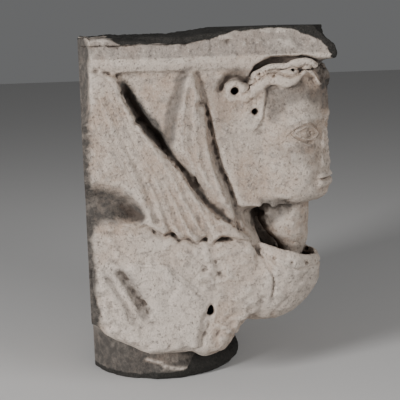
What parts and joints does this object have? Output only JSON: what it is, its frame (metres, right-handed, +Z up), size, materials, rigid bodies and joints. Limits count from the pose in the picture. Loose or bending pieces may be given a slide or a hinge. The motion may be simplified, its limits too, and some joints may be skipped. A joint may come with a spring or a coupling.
{
  "type": "historiated capital",
  "caption": "Square-topped limestone capital on a round necking, carved on both sides with a crouching winged creature whose human head looks out from the corner.",
  "frame": {"origin": "centre of the column's axis on the lower bed, the face that sits on the column", "axes": "+Z up; +X towards the free front with the two corner heads; the side that shows in the picture faces -Y; the flat back that met the wall is at -X"},
  "size_m": [0.2603, 0.2802, 0.38],
  "materials": {
    "limestone": "weathered pale grey-beige limestone, matt, pitted, with dark soiling in the hollows and along the top"
  },
  "bodies": {
    "root": {"carved_capital": "limestone"}
  },
  "joints": []
}
